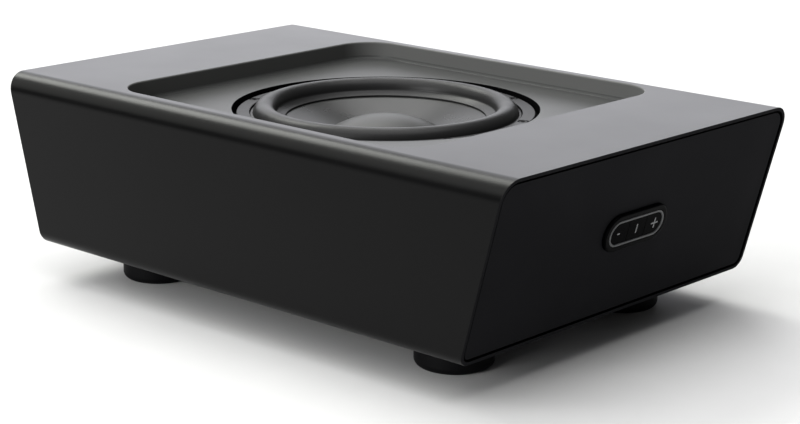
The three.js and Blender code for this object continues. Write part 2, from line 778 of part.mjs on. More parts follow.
function amplifierBoard() {
  const blocks = [
    [-176, -95, 22, 22, 12],
    [-180, -30, 16, 16, 3],
    [ampTerminal.x, ampTerminal.y, 10, 12, 9],
  ];
  const cans = [[-186, -62, 7, 24], [-168, -62, 7, 24], [-186, -8, 5, 14]];
  return circuitBoard([bayLeft, -154], [-122, 12], blocks, cans);
}

function powerSupplyBoard() {
  const blocks = [[-175, 62, 34, 32, 26], [-166, 104, 12, 26, 18]];
  const cans = [[-184, 92, 8, 28], [-184, 112, 6, 18]];
  return circuitBoard([bayLeft, -142], [30, 124], blocks, cans);
}

function heatSink() {
  const back = -BULKHEAD_X - BOARD_THICKNESS / 2 - GAP;
  const plate = box([back - 3, -102, 60], [back, -12, 112]);
  const fins = Array.from({ length: 9 }, (_, i) => {
    const y = -101 + i * 11;
    return box([back - 15, y, 60], [back - 2, y + 2, 112]);
  });
  return join(plate, ...fins);
}

function wirelessModule() {
  const place = { x: 165, y: -70 };
  const board = box([place.x - 18, place.y - 25, pcbLow], [place.x + 18, place.y + 25, pcbTop]);
  const shield = box([place.x - 12, place.y - 20, pcbTop - 0.4], [place.x + 12, place.y + 6, pcbTop + 3]);
  const legs = [-20, 20].map((y) => post(2.4, BASE_TOP_Z + GAP, pcbLow + 0.5, place.x, place.y + y, 10));
  return join(board, shield, ...legs);
}

function speakerCable() {
  const radius = 1.6;
  const terminalZ = TOP_PLATE_Z + TOP_PLATE_THICKNESS + 6;
  const route = new THREE.CatmullRomCurve3([
    new THREE.Vector3(terminalX - 7.5, 2, terminalZ + 3),
    new THREE.Vector3(terminalX - 20, 8, terminalZ - 2),
    new THREE.Vector3(-108, 18, 76),
    new THREE.Vector3(-BULKHEAD_X, cableHole.y, cableHole.z),
    new THREE.Vector3(-152, 18, 74),
    new THREE.Vector3(ampTerminal.x, ampTerminal.y + 4, 74),
    new THREE.Vector3(ampTerminal.x, ampTerminal.y, ampTerminal.top + 1),
  ]);
  const wire = new THREE.Shape();
  wire.absarc(0, 0, radius, 0, 2 * Math.PI);
  return new THREE.ExtrudeGeometry(wire, { extrudePath: route, steps: 20, curveSegments: 3 });
}

// ---- materials -------------------------------------------------------------------

function finish(color, roughness, metalness = 0) {
  return new THREE.MeshStandardMaterial({ color, roughness, metalness });
}

const satinBlack = finish(0x1b1c1e, 0.42);
const panelBlack = finish(0x161719, 0.5);
const boardBrown = finish(0x8a6a48, 0.85);
const rubberBlack = finish(0x101011, 0.8);
const surroundBlack = finish(0x191a1b, 0.55);
const coneGrey = finish(0x3c3d3e, 0.45);
const basketGrey = finish(0x2b2c2e, 0.5, 0.4);
const screwBlack = finish(0x0c0c0d, 0.35, 0.8);
const plainSteel = finish(0x9a9c9f, 0.35, 1);
const copper = finish(0xb4673c, 0.35, 1);
const ferrite = finish(0x2a2a2c, 0.7);
const clothTan = finish(0x9c7a3e, 0.9);
const aluminium = finish(0x4a4c50, 0.4, 0.9);
const glossBlack = finish(0x08080a, 0.2);
const ringGrey = finish(0x9a9ca0, 0.35);
const boardGreen = finish(0x1f5a35, 0.5);
const paddingGrey = finish(0x77787a, 1);

// ---- assembly --------------------------------------------------------------------

const group = new THREE.Group();

function add(name, geometry, material) {
  const mesh = new THREE.Mesh(geometry, material);
  mesh.name = name;
  group.add(mesh);
}

add('outer_sleeve', outerSleeve(), satinBlack);
add('baffle_tray', baffleTray(), satinBlack);
add('left_end_panel', endPanel(-1), panelBlack);
add('right_end_panel', rightEndPanel(), panelBlack);
add('front_board', frontBoard(), boardBrown);
add('back_board', backBoard(), boardBrown);
add('base_board', baseBoard(), boardBrown);
add('left_bulkhead', leftBulkhead(), boardBrown);
add('right_brace', rightBrace(), boardBrown);
add('damping_pad_front', dampingPad(-1), paddingGrey);
add('damping_pad_back', dampingPad(1), paddingGrey);

footPlaces.forEach(([place, x, y]) => {
  add(`foot_${place}`, foot(x, y), rubberBlack);
  add(`foot_screw_${place}`, footScrew(x, y), plainSteel);
});

add('driver_basket', driverBasket(), basketGrey);
add('driver_gasket', gasket(), rubberBlack);
add('surround', surround(), surroundBlack);
add('cone', cone(), coneGrey);
add('dust_cap', dustCap(), coneGrey);
add('voice_coil_former', voiceCoilFormer(), aluminium);
add('voice_coil', voiceCoil(), copper);
add('spider', spider(), clothTan);
add('top_plate', topPlate(), plainSteel);
add('magnet', magnet(), ferrite);
add('yoke', yoke(), plainSteel);
add('terminal_block', terminalBlock(), ferrite);
screwPlaces().forEach(([x, y], i) => {
  add(`driver_screw_${i + 1}`, driverScrew(x, y), screwBlack);
});

add('control_bezel', controlBezel(), glossBlack);
add('light_ring', lightRing(), ringGrey);
add('key_minus', keyMinus(), glossBlack);
add('key_power', keyPower(), glossBlack);
add('key_plus', keyPlus(), glossBlack);
add('control_board', controlBoard(), boardGreen);

add('rear_plate', rearPlate(), satinBlack);
add('mains_inlet', mainsInlet(), panelBlack);
rearScrewPlaces.forEach(([x, z], i) => {
  add(`rear_plate_screw_${i + 1}`, rearScrew(x, z), screwBlack);
});

add('amplifier_board', amplifierBoard(), boardGreen);
add('power_supply_board', powerSupplyBoard(), boardGreen);
add('heat_sink', heatSink(), aluminium);
add('wireless_module', wirelessModule(), boardGreen);
add('speaker_cable', speakerCable(), rubberBlack);

export default group;
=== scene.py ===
import json
import math

import bmesh
import bpy
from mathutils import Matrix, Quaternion, Vector


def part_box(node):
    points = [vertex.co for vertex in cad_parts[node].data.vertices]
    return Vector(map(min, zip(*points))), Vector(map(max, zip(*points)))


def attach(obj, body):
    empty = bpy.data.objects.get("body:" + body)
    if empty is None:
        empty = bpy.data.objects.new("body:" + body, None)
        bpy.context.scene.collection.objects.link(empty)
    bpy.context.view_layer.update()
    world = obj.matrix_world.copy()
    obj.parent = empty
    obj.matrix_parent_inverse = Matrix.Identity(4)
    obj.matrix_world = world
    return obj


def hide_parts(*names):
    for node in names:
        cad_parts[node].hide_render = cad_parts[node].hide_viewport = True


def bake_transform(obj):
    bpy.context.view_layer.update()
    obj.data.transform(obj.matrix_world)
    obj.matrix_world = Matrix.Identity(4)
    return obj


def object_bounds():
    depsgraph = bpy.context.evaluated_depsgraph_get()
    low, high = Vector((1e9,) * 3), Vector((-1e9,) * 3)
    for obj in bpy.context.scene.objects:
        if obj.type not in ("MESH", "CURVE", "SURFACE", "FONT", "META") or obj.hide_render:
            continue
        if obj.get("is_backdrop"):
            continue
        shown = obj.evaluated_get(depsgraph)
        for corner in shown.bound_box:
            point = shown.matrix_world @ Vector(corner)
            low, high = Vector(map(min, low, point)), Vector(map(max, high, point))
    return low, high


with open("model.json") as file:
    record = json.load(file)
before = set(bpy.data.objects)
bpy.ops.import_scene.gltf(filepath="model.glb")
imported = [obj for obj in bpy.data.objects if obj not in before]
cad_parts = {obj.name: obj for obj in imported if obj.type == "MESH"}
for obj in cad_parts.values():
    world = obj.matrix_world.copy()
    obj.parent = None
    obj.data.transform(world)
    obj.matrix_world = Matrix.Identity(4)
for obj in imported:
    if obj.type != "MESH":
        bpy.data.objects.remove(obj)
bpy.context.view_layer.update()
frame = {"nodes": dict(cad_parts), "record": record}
record = frame["record"]

# The looks of a low subwoofer with an upward-firing driver in a tray. Sizes are in
# millimetres, in the frame of the CAD model, and become metres as each mesh is made.

MM = 0.001


def node_box(node):
    """The lowest and highest corner of a CAD node, in millimetres."""
    low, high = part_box(node)
    return [value / MM for value in low], [value / MM for value in high]


# ---- sizes: cabinet --------------------------------------------------------------------

sleeve_low, sleeve_high = node_box("outer_sleeve")
LENGTH = sleeve_high[0] - sleeve_low[0]
DEPTH = sleeve_high[1] - sleeve_low[1]
BODY_Z = sleeve_low[2]
TOP_Z = sleeve_high[2]
BODY_HEIGHT = TOP_Z - BODY_Z
END_TAPER = 34             # each end's foot is this far inside its top
TOP_FILLET = 15
BOTTOM_FILLET = 9
SKIN = 2.5
EDGE = 0.3                 # rounding of the cabinet's crisp edges
PAST = 3                   # how far a cutting shape reaches past what it cuts

PANEL_THICKNESS = 12
PANEL_INSET = 0.8
PANEL_GAP = 1.4

tray_low, tray_high = node_box("baffle_tray")
TRAY_LENGTH = tray_high[0] - tray_low[0] - 2 * SKIN
TRAY_WIDTH = tray_high[1] - tray_low[1] - 2 * SKIN
TRAY_CORNER = 29
TRAY_FILLET = 3
TRAY_EDGE = 0.35
LIP = 1.2                  # rounding of the tray opening's upper edge
SEAM_Z = tray_high[2]      # where the sleeve's flange meets the tray
SEAM_LAP = 0.6
FLOOR_Z = SEAM_Z - TRAY_FILLET
BAFFLE_Z = tray_low[2]
WELL_RADIUS = 111
WELL_Z = node_box("driver_gasket")[0][2] - 0.3
THROAT_RADIUS = 98.8

PLACES = ("front_left", "front_right", "back_left", "back_right")
FOOT_EDGE = 5
FOOT_CHAMFER = 0.8
FOOT_HOLE = 2.3
FOOT_BORE = 6              # recess for the screw's head
FOOT_BORE_DEPTH = 9
BORE_CHAMFER = 0.6

# ---- sizes: driver ---------------------------------------------------------------------

basket_low, basket_high = node_box("driver_basket")
BASKET_RADIUS = basket_high[0]
BASKET_BOTTOM = basket_low[2]
RING_TOP = basket_high[2]
RING_BOTTOM = RING_TOP - 3
RING_INNER = 98.3
RING_EDGE = 0.7            # rounding of the ring's outer edge
RING_EDGE_MIDDLE = 0.2     # how far the middle of that rounding is inside the sharp corner
RING_INNER_EDGE = 0.5
SEAT_Z = RING_TOP - 2.8
SEAT_INNER = 92
SEAT_THICKNESS = 3.2
SHELF_Z = 101.5
SHELF_RADIUS = 73
SHELF_THICKNESS = 4
HUB_RADIUS = 61
HUB_INNER = 57.5
HUB_FLOOR = 3
HUB_HOLE = 32
WINDOWS = 6
WINDOW_HALF_ANGLE = 21
WINDOW_INNER = 55
WINDOW_OUTER = 110
WINDOW_BOTTOM = SHELF_Z + 1
WINDOW_TOP = SEAT_Z - 6

DRIVER_SCREWS = 8
HEAD_RADIUS = 3.5
HEAD_HEIGHT = 1.2
SHANK_RADIUS = 2.0
SCREW_POINT = 2            # height of the tapered tip
SEAT_HOLE = 2.3
SEAT_BORE = 4.1
SEAT_BORE_DEPTH = 1.7

surround_low, surround_high = node_box("surround")
FLANGE_RADIUS = surround_high[0]
ROLL_OUTER = 96
ROLL_INNER = 79.5
ROLL_RADIUS = (ROLL_OUTER - ROLL_INNER) / 2
ROLL_BASE = surround_high[2] - ROLL_RADIUS
ROLL_WEDGES = 48
LIP_INNER = 72.3
RUBBER = 1.1
GLUE = 0.3                 # between the rubber and what it is stuck to

CONE_RIM_Z = node_box("cone")[1][2]
CONE_SLOPE = math.tan(math.radians(17))
CONE_SKIN = 1
CONE_STEPS = 12
NECK_RADIUS = 26.2
cap_high = node_box("dust_cap")[1]
CAP_RADIUS = cap_high[0]
CAP_APEX = cap_high[2]
CAP_SPHERE = 80
CAP_SKIN = 0.9

spider_low, spider_high = node_box("spider")
SPIDER_INNER = 25.7
SPIDER_FLAT = 3            # flat collar inside the waves
SPIDER_SPAN = 29           # radial width of the waves
SPIDER_WAVES = 6
SPIDER_WAVE_HEIGHT = 1.3
SPIDER_STEPS = 48
SPIDER_RIM = 61.5
SPIDER_SHEET = 0.8
SPIDER_WEDGES = 12

# ---- sizes: control pod ----------------------------------------------------------------

POD_DOWN = 63.4            # from the top, along the end
POD_LENGTH = 67
POD_HEIGHT = 27
POD_PROUD = 2
POD_EDGE = 1.2
BEZEL_WALL = 2.3           # of its neck, round the light ring
BEZEL_DEPTH = 13
NECK_WALL = 2.6            # the panel's hole, a little wider than the neck
RING_LENGTH = 58.5
RING_HEIGHT = 18.7
RING_WALL = 1.5
RING_DEPTH = 6
RING_CHAMFER = 0.2
RING_FIT = 0.3             # between the light ring and the bezel
KEY_SPLIT = 9.45           # from the middle to where two keys meet
KEY_GAP = 0.3
KEY_TOP = 1.6
KEY_BOTTOM = -5
KEY_EDGE = 0.15
GLYPH_SPACING = 19.7
MINUS_LENGTH = 2.8
MINUS_WIDTH = 1.2
BAR_LENGTH = 6.8
PLUS_LENGTH = 7.6
MARK_WIDTH = 1.1
MARK_SINK = 0.3
MARK_PROUD = 0.18
MARK_EDGE = 0.06

# ---- sizes: rear plate -----------------------------------------------------------------

plate_low, plate_high = node_box("rear_plate")
PLATE_MIDDLE = ((plate_low[0] + plate_high[0]) / 2, (plate_low[2] + plate_high[2]) / 2)
PLATE_WIDTH = plate_high[0] - plate_low[0]
PLATE_HEIGHT = plate_high[2] - plate_low[2]
PLATE_FACE = plate_high[1]
PLATE_BACK = plate_low[1]
PLATE_CORNER = 2
PLATE_GAP = 0.4
PLATE_SCREWS = 4
PLATE_SHANK = 1.3
PLATE_HEAD = 2.5
PLATE_HEAD_HEIGHT = 1
PLATE_HEAD_EDGE = 0.3
PLATE_SLOT = (3.2, 0.6)
PLATE_SLOT_DEPTH = 0.7
PLATE_HOLE = 1.6
PLATE_BORE = 2.9
PLATE_BORE_DEPTH = 1.3

inlet_low, inlet_high = node_box("mains_inlet")
INLET_LENGTH = 24
INLET_HEIGHT = 14
INLET_CORNER = 3
INLET_GAP = 0.3
INLET_EDGE = 0.4
SOCKET_LENGTH = 18
SOCKET_HEIGHT = 8.6
SOCKET_FLOOR = inlet_high[1] - 11
PIN_OFFSET = 4.3
PIN_RADIUS = 1.2
PIN_TIP = 0.7
PIN_LENGTH = 5
PIN_TAPER = 0.6

# Sides of round shapes, and steps of rounded corners.

LARGE_SIDES = 160
CAP_SIDES = 128
FOOT_SIDES = 96
SCREW_SIDES = 48
SEAT_SIDES = 40
SMALL_SIDES = 32
PIN_SIDES = 24
SECTION_STEPS = 14
TRAY_STEPS = 20
PILL_STEPS = 28


# ---- outlines, as lists of flat points ---------------------------------------------------


def arc(centre, radius, start, end, steps):
    """Points along an arc; the angles are in degrees."""
    points = []
    for i in range(steps + 1):
        angle = math.radians(start + (end - start) * i / steps)
        points.append((centre[0] + radius * math.cos(angle), centre[1] + radius * math.sin(angle)))
    return points


def circle(radius, count):
    return arc((0, 0), radius, 0, 360 * (count - 1) / count, count - 1)


def rounded_rectangle(width, height, radius, steps):
    x, y = width / 2 - radius, height / 2 - radius
    points = arc((x, -y), radius, -90, 0, steps)
    points += arc((x, y), radius, 0, 90, steps)
    points += arc((-x, y), radius, 90, 180, steps)
    points += arc((-x, -y), radius, 180, 270, steps)
    return points


def stadium(length, height, steps=PILL_STEPS):
    middle = (length - height) / 2
    right = arc((middle, 0), height / 2, -90, 90, steps)
    left = arc((-middle, 0), height / 2, 90, 270, steps)
    return right + left


def section(inside):
    """The cabinet's section in Y and Z, a distance inside its skin."""
    y = DEPTH / 2 - inside
    low, high = BODY_Z + inside, TOP_Z - inside
    top, bottom = TOP_FILLET - inside, BOTTOM_FILLET - inside
    points = arc((y - bottom, low + bottom), bottom, -90, 0, SECTION_STEPS)
    points += arc((y - top, high - top), top, 0, 90, SECTION_STEPS)
    points += arc((-y + top, high - top), top, 90, 180, SECTION_STEPS)
    points += arc((-y + bottom, low + bottom), bottom, 180, 270, SECTION_STEPS)
    return points


def tray_outline(outside):
    length, width = TRAY_LENGTH + 2 * outside, TRAY_WIDTH + 2 * outside
    return rounded_rectangle(length, width, TRAY_CORNER + outside, TRAY_STEPS)


def pod_outline(outside):
    return stadium(POD_LENGTH + 2 * outside, POD_HEIGHT + 2 * outside)


def ring_outline(outside):
    return stadium(RING_LENGTH + 2 * outside, RING_HEIGHT + 2 * outside)


# ---- placing flat points in space --------------------------------------------------------


def level(points, z, centre=(0, 0)):
    return [(x + centre[0], y + centre[1], z) for x, y in points]


def end_x(z):
    return LENGTH / 2 - END_TAPER * (TOP_Z - z) / BODY_HEIGHT


def along_x(points, place):
    return [(place(z), y, z) for y, z in points]


# The right end's own directions: U along it, V up it, N out of it.

LEAN = math.atan2(END_TAPER, BODY_HEIGHT)
POD_Z = TOP_Z - POD_DOWN * math.cos(LEAN)
POD_MIDDLE = Vector((end_x(POD_Z), 0, POD_Z))
POD_U = Vector((0, 1, 0))
POD_V = Vector((math.sin(LEAN), 0, math.cos(LEAN)))
POD_N = Vector((math.cos(LEAN), 0, -math.sin(LEAN)))


def on_end(points, n):
    return [POD_MIDDLE + u * POD_U + v * POD_V + n * POD_N for u, v in points]


def on_back(points, y, centre):
    return [(centre[0] + x, y, centre[1] + z) for x, z in points]


# ---- meshes ------------------------------------------------------------------------------


def link_object(name, bm):
    mesh = bpy.data.meshes.new(name)
    bm.to_mesh(mesh)
    bm.free()
    piece = bpy.data.objects.new(name, mesh)
    bpy.context.scene.collection.objects.link(piece)
    return piece


def new_object(name, bm):
    bmesh.ops.remove_doubles(bm, verts=bm.verts, dist=1e-7)
    bmesh.ops.recalc_face_normals(bm, faces=bm.faces)
    return link_object(name, bm)


def loft(name, loops, closed=False, caps=True):
    """Joins loops of equally many points with quads; closed joins the last to the first."""
    bm = bmesh.new()
    rings = [[bm.verts.new(Vector(point) * MM) for point in loop] for loop in loops]
    pairs = list(zip(rings, rings[1:]))
    if closed:
        pairs.append((rings[-1], rings[0]))
    for near, far in pairs:
        for i, corner in enumerate(near):
            j = (i + 1) % len(near)
            bm.faces.new((corner, near[j], far[j], far[i]))
    if caps and not closed:
        bm.faces.new(rings[0])
        bm.faces.new(rings[-1])
    return new_object(name, bm)


def turned(name, profile, count, closed=False, centre=(0, 0)):
    """A profile of (radius, z) turned round a vertical axis."""
    smallest = 0.05
    loops = [level(circle(max(radius, smallest), count), z, centre) for radius, z in profile]
    return loft(name, loops, closed)


def combine(piece, other, operation):
    modifier = piece.modifiers.new("combine", "BOOLEAN")
    modifier.object = other
    modifier.operation = operation
    modifier.solver = "EXACT"
    depsgraph = bpy.context.evaluated_depsgraph_get()
    mesh = bpy.data.meshes.new_from_object(piece.evaluated_get(depsgraph))
    piece.modifiers.clear()
    piece.data = mesh
    bpy.data.objects.remove(other)


def carve(piece, *cutters):
    for cutter in cutters:
        combine(piece, cutter, "DIFFERENCE")


def weld(piece, *others):
    for other in others:
        combine(piece, other, "UNION")


def gather(name, pieces):
    """One object holding the meshes of several."""
    bm = bmesh.new()
    for piece in pieces:
        bm.from_mesh(piece.data)
        bpy.data.objects.remove(piece)
    return link_object(name, bm)


def soften(piece, edge=0, segments=2):
    """Shades a piece smooth, and rounds its crisp edges where an edge is given."""
    for polygon in piece.data.polygons:
        polygon.use_smooth = True
    if edge:
        bevel = piece.modifiers.new("edges", "BEVEL")
        bevel.width = edge * MM
        bevel.segments = segments
        bevel.limit_method = "ANGLE"
        bevel.angle_limit = math.radians(32)
    normals = piece.modifiers.new("normals", "WEIGHTED_NORMAL")
    normals.keep_sharp = True
    normals.weight = 80


def dress(piece, body, slot, *nodes, look=None):
    """Gives a piece its finish, its body, and the CAD nodes that it stands for."""
    piece.data.materials.clear()
    piece.data.materials.append(finishes[look or slot])
    if body:
        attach(piece, body)
    if nodes:
        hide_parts(*nodes)


def refinish(piece, look, chosen):
    """Gives the chosen faces another finish; chosen gets a face's middle and normal."""
    piece.data.materials.append(finishes[look])
    index = len(piece.data.materials) - 1
    for polygon in piece.data.polygons:
        if chosen(polygon.center / MM, polygon.normal):
            polygon.material_index = index


# ---- finishes ----------------------------------------------------------------------------

finishes = {}


def mix_nodes(tree, factor, dark, light):
    mix = tree.nodes.new("ShaderNodeMix")
    mix.data_type = "RGBA"
    mix.inputs["A"].default_value = (*dark, 1)
    mix.inputs["B"].default_value = (*light, 1)
    tree.links.new(factor, mix.inputs["Factor"])
    return mix.outputs["Result"]


def noise_nodes(tree, vector, scale, detail, stretch):
    noise = tree.nodes.new("ShaderNodeTexNoise")
    noise.inputs["Scale"].default_value = scale
    noise.inputs["Detail"].default_value = detail
    if stretch:
        mapping = tree.nodes.new("ShaderNodeMapping")
        mapping.inputs["Scale"].default_value = stretch
        tree.links.new(vector, mapping.inputs["Vector"])
        vector = mapping.outputs["Vector"]
    tree.links.new(vector, noise.inputs["Vector"])
    return noise.outputs["Fac"]


def spread(tree, value, low, high):
    """Maps the middle of a noise to a range of numbers."""
    node = tree.nodes.new("ShaderNodeMapRange")
    node.inputs["From Min"].default_value = 0.3
    node.inputs["From Max"].default_value = 0.7
    node.inputs["To Min"].default_value = low
    node.inputs["To Max"].default_value = high
    tree.links.new(value, node.inputs["Value"])
    return node.outputs["Result"]


def finish(name, dark, light, rough, grain, bump, metallic=0.0, ior=1.5, mottle=14.0,
           stretch=None, voronoi=False):
    """A procedural surface: mottled colour, uneven gloss and a fine grain.

    dark and light are the two colours; rough is the range of roughness; grain is the
    number of grains to a metre; bump is the height of the grain in metres."""
    material = bpy.data.materials.new(name)
    material.use_nodes = True
    tree = material.node_tree
    shader = tree.nodes["Principled BSDF"]
    place = tree.nodes.new("ShaderNodeTexCoord").outputs["Object"]
    mottling = spread(tree, noise_nodes(tree, place, mottle, 4.0, stretch), 0, 1)
    tree.links.new(mix_nodes(tree, mottling, dark, light), shader.inputs["Base Color"])
    blotches = noise_nodes(tree, place, mottle * 3.1, 5.0, stretch)
    tree.links.new(spread(tree, blotches, *rough), shader.inputs["Roughness"])
    if voronoi:
        cells = tree.nodes.new("ShaderNodeTexVoronoi")
        cells.inputs["Scale"].default_value = grain
        tree.links.new(place, cells.inputs["Vector"])
        height = cells.outputs["Distance"]
    else:
        height = noise_nodes(tree, place, grain, 2.0, stretch)
    relief = tree.nodes.new("ShaderNodeBump")
    relief.inputs["Strength"].default_value = 1.0
    relief.inputs["Distance"].default_value = bump
    tree.links.new(height, relief.inputs["Height"])
    tree.links.new(relief.outputs["Normal"], shader.inputs["Normal"])
    shader.inputs["Metallic"].default_value = metallic
    shader.inputs["IOR"].default_value = ior
    finishes[name] = material


# A low index of refraction keeps a face that is seen squarely nearly black, while the top,
# seen at a low angle, still shines.

finish(
    "cabinet_satin_black", (0.0006, 0.0006, 0.0007), (0.0010, 0.0010, 0.0011),
    (0.29, 0.31), 1500, 0.000002, ior=1.2, mottle=6)
finish(
    "tray_satin_black", (0.040, 0.041, 0.040), (0.046, 0.047, 0.046),
    (0.33, 0.35), 1500, 0.000002, ior=1.17, mottle=6)
finish(
    "end_panel_matte", (0.0110, 0.0110, 0.0121), (0.0136, 0.0136, 0.0149),
    (0.42, 0.46), 1900, 0.000004, ior=1.04)
finish(
    "fibreboard", (0.36, 0.24, 0.14), (0.5, 0.36, 0.23),
    (0.8, 0.95), 900, 0.0001, stretch=(1, 1, 6))
finish(
    "padding", (0.36, 0.37, 0.38), (0.5, 0.51, 0.52),
    (0.9, 1.0), 420, 0.0009)
finish(
    "foot_rubber", (0.0026, 0.0026, 0.003), (0.0040, 0.0040, 0.0045),
    (0.5, 0.6), 1700, 0.00002, ior=1.15)
finish(
    "zinc_steel", (0.42, 0.43, 0.45), (0.56, 0.57, 0.58),
    (0.28, 0.42), 2200, 0.00001, metallic=1.0)
finish(
    "basket_steel", (0.026, 0.026, 0.027), (0.032, 0.032, 0.033),
    (0.34, 0.4), 1800, 0.000003, ior=1.12)
finish(
    "gasket_foam", (0.01, 0.01, 0.01), (0.02, 0.02, 0.02),
    (0.85, 0.95), 1500, 0.0001, voronoi=True)
finish(
    "surround_rubber", (0.010, 0.010, 0.0102), (0.013, 0.013, 0.0132),
    (0.36, 0.42), 2400, 0.000004, ior=1.22)
finish(
    "cone_polymer", (0.016, 0.0162, 0.0158), (0.020, 0.0202, 0.0198),
    (0.27, 0.3), 2600, 0.000002, ior=1.19)
finish(
    "former_aluminium", (0.6, 0.6, 0.6), (0.72, 0.72, 0.72),
    (0.3, 0.42), 1800, 0.00001, metallic=1.0, stretch=(1, 1, 12))
finish(
    "coil_copper", (0.52, 0.2, 0.09), (0.66, 0.29, 0.14),
    (0.25, 0.38), 900, 0.00012, metallic=1.0, stretch=(0.1, 0.1, 5))
finish(
    "spider_cloth", (0.32, 0.2, 0.06), (0.48, 0.33, 0.13),
    (0.8, 0.95), 1100, 0.00012, voronoi=True)
finish(
    "motor_steel", (0.38, 0.4, 0.42), (0.5, 0.51, 0.52),
    (0.3, 0.46), 1600, 0.00001, metallic=1.0)
finish(
    "ferrite", (0.018, 0.018, 0.02), (0.035, 0.035, 0.037),
    (0.6, 0.8), 1500, 0.00006)
finish(
    "terminal_plastic", (0.02, 0.02, 0.02), (0.03, 0.03, 0.03),
    (0.5, 0.62), 1400, 0.00002)
finish(
    "black_screw", (0.003, 0.003, 0.0032), (0.005, 0.005, 0.0052),
    (0.4, 0.5), 2600, 0.000008, ior=1.15)
finish(
    "pod_gloss", (0.0008, 0.0008, 0.0010), (0.0012, 0.0012, 0.0014),
    (0.2, 0.24), 700, 0.000002, ior=1.07)
finish(
    "ring_grey", (0.09, 0.092, 0.094), (0.11, 0.112, 0.114),
    (0.3, 0.4), 1500, 0.000006, ior=1.2)
finish(
    "key_black", (0.0008, 0.0008, 0.0010), (0.0012, 0.0012, 0.0014),
    (0.24, 0.28), 1500, 0.000003, ior=1.05)
finish(
    "circuit_board", (0.008, 0.09, 0.03), (0.02, 0.16, 0.06),
    (0.35, 0.5), 260, 0.00006)
finish(
    "rear_plate_black", (0.012, 0.012, 0.0125), (0.017, 0.017, 0.0175),
    (0.45, 0.55), 1300, 0.00003, voronoi=True)
finish(
    "inlet_black", (0.01, 0.01, 0.01), (0.015, 0.015, 0.015),
    (0.4, 0.5), 1500, 0.00001)
finish(
    "heat_sink_black", (0.02, 0.02, 0.022), (0.035, 0.035, 0.037),
    (0.45, 0.55), 1500, 0.00002, metallic=0.7)
finish(
    "cable_jacket", (0.02, 0.004, 0.004), (0.035, 0.007, 0.007),
    (0.45, 0.6), 1200, 0.00002)

# Looks of some faces, beside the record's own slots.

# Painted light: the tray walls get a lighter copy of the cabinet's satin black, standing in for the
# light that the tray floor throws onto them.
finish(
    "tray_wall_painted_light", (0.078, 0.079, 0.077), (0.084, 0.085, 0.083),
    (0.36, 0.4), 1500, 0.000002, ior=1.15, mottle=6)
# Painted shade: a near black for faces that show only in shadow, in gaps, grooves and holes.
finish(
    "painted_shade_black", (0.0012, 0.0012, 0.0013), (0.0018, 0.0018, 0.0019),
    (0.5, 0.6), 1500, 0.000004, ior=1.05)
finish(
    "cap_satin", (0.030, 0.0305, 0.0295), (0.034, 0.0345, 0.0335),
    (0.4, 0.45), 2600, 0.000002, ior=1.24)
finish(
    "glyph_grey", (0.15, 0.153, 0.156), (0.18, 0.183, 0.186), (0.4, 0.5), 1500, 0.000004)

# ---- cabinet -----------------------------------------------------------------------------


def leaning_block(name, points, left, right):
    return loft(name, [along_x(points, left), along_x(points, right)])


def back_block(name, points, low, high):
    return loft(name, [on_back(points, low, PLATE_MIDDLE), on_back(points, high, PLATE_MIDDLE)])


sleeve = leaning_block("sleeve", section(0), lambda z: -end_x(z), end_x)
carve(sleeve, leaning_block(
    "hollow", section(SKIN), lambda z: -end_x(z) - PAST, lambda z: end_x(z) + PAST))
flange_bottom = SEAM_Z - SEAM_LAP
flange_top = TOP_Z - 1     # inside the skin, so that the two weld
flange_outline = tray_outline(SKIN)
weld(sleeve, loft("flange", [level(flange_outline, flange_bottom), level(flange_outline, flange_top)]))
opening_profile = [(0, flange_bottom - PAST)]
opening_profile += arc((LIP, TOP_Z - LIP), LIP, 180, 90, 6)
opening_profile.append((LIP, TOP_Z + PAST))
carve(sleeve, loft("opening", [level(tray_outline(outside), z) for outside, z in opening_profile]))
cutout_outline = rounded_rectangle(
    PLATE_WIDTH + 2 * PLATE_GAP, PLATE_HEIGHT + 2 * PLATE_GAP, PLATE_CORNER + PLATE_GAP, 6)
carve(sleeve, back_block("cutout", cutout_outline, DEPTH / 2 - SKIN - PAST, DEPTH / 2 + PAST))
dress(sleeve, "cabinet", "cabinet_satin_black", "outer_sleeve")


def on_tray_wall(middle, normal):
    """The upright walls of the tray's opening, with their rounded upper edge."""
    in_x = abs(middle.x) < TRAY_LENGTH / 2 + LIP
    in_y = abs(middle.y) < TRAY_WIDTH / 2 + LIP
    return in_x and in_y and abs(normal.z) < 0.95 and middle.z > SEAM_Z - 1


def on_sleeve_lining(middle, normal):
    """The inside of the sleeve, which shows only through the shadow gaps and is painted near black as
    shade.
    """
    inwards = normal.dot(Vector((0, middle.y, middle.z - (BODY_Z + TOP_Z) / 2))) < 0
    return inwards and not on_tray_wall(middle, normal)


def on_cut_end(middle, normal):
    """The sleeve's own cut ends, round the end panels."""
    return abs(normal.x) > 0.9 and normal.x * middle.x > 0


# Painted light: the tray walls are lighter than the rest of the sleeve.
refinish(sleeve, "tray_wall_painted_light", on_tray_wall)
# Painted shade: the sleeve's lining is painted near black, as the shade in its gaps.
refinish(sleeve, "painted_shade_black", on_sleeve_lining)
refinish(sleeve, "end_panel_matte", on_cut_end)
soften(sleeve, EDGE)

